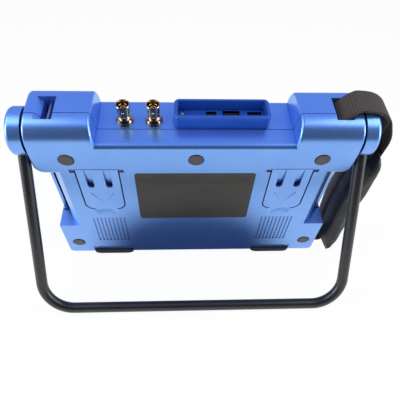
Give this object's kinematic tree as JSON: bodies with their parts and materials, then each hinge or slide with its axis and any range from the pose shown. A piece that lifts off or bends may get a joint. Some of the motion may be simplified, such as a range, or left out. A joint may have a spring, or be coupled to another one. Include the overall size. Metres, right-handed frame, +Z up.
{
  "type": "ultrasonic flaw detector",
  "caption": "Portable ultrasonic flaw detector in a metallic blue case, leaning back on its black bail, with a padded hand strap at one side.",
  "frame": {"origin": "on the bench under the middle of the whole box, bail and strap included", "axes": "+Z up, +X to the right seen from behind, +Y towards the side that the display faces; the case leans back by 20 degrees"},
  "size_m": [0.2876, 0.1256, 0.1841],
  "materials": {
    "blue_paint": "satin metallic",
    "blue_plastic": "satin",
    "blue_gloss": "gloss",
    "blue_rubber": "matte",
    "grey_rubber": "matte",
    "black_rubber": "matte",
    "window": "clear",
    "dark_glass": "gloss",
    "steel": "plain",
    "tin": "bright",
    "nickel": "bright",
    "gold": "bright",
    "brass": "plain",
    "nylon": "plain",
    "board": "satin",
    "black_plastic": "matte",
    "white_plastic": "plain",
    "sleeve": "shrink film",
    "silicone": "matte",
    "label": "satin",
    "black_paint": "satin",
    "webbing": "woven",
    "grip": "padded",
    "lamp": "clear"
  },
  "bodies": {
    "case": {"rear_shell": "blue_paint", "front_shell": "blue_paint", "shell_gasket": "black_rubber", "display_window": "window", "lcd_panel": "dark_glass", "lcd_bracket": "steel", "board_spacers": "nickel", "main_board": "board", "board_screws": "steel", "pulser_shield": "tin", "buzzer": "black_plastic", "battery_tray": "black_plastic", "battery_pack": "sleeve", "keypad_right": "silicone", "keypad_left": "silicone", "case_screws": "steel", "screw_plugs": "grey_rubber", "bottom_pads": "blue_rubber", "label_plate": "label", "foot_pins": "steel", "pivot_bolts": "steel", "pivot_bushes": "brass", "friction_washers": "nylon", "strap_pins": "steel", "strap_webbing_upper": "webbing", "strap_webbing_lower": "webbing", "hand_grip": "grip", "port_bay": "blue_gloss", "usb_a_socket": "nickel", "usb_a_tongue": "white_plastic", "mini_usb_socket": "nickel", "mini_usb_tongue": "black_plastic", "data_socket": "nickel", "data_tongue": "black_plastic", "charge_lamp": "lamp", "port_board": "board", "port_board_screws": "steel", "bnc_shells": "nickel", "bnc_insulators": "white_plastic", "bnc_contacts": "gold", "bnc_nuts": "nickel", "bnc_washers": "nickel"},
    "handle": {"handle_tube": "black_paint", "handle_knuckle_right": "blue_paint", "handle_knuckle_left": "blue_paint", "knuckle_caps": "blue_paint"},
    "left_foot": {"flip_foot_left": "blue_plastic"},
    "right_foot": {"flip_foot_right": "blue_plastic"}
  },
  "joints": [
    {"name": "bail_swing", "type": "hinge", "parent": "case", "child": "handle", "pos_m": [-0.0092, -0.01828, 0.1527], "axis": [-1, 0, 0], "range_deg": [-25, 119]},
    {"name": "left_foot_swing", "type": "hinge", "parent": "case", "child": "left_foot", "pos_m": [-0.0762, -0.02504, 0.12377], "axis": [-1, 0, 0], "range_deg": [0, 88]},
    {"name": "right_foot_swing", "type": "hinge", "parent": "case", "child": "right_foot", "pos_m": [0.0762, -0.02504, 0.12377], "axis": [-1, 0, 0], "range_deg": [0, 88]}
  ]
}
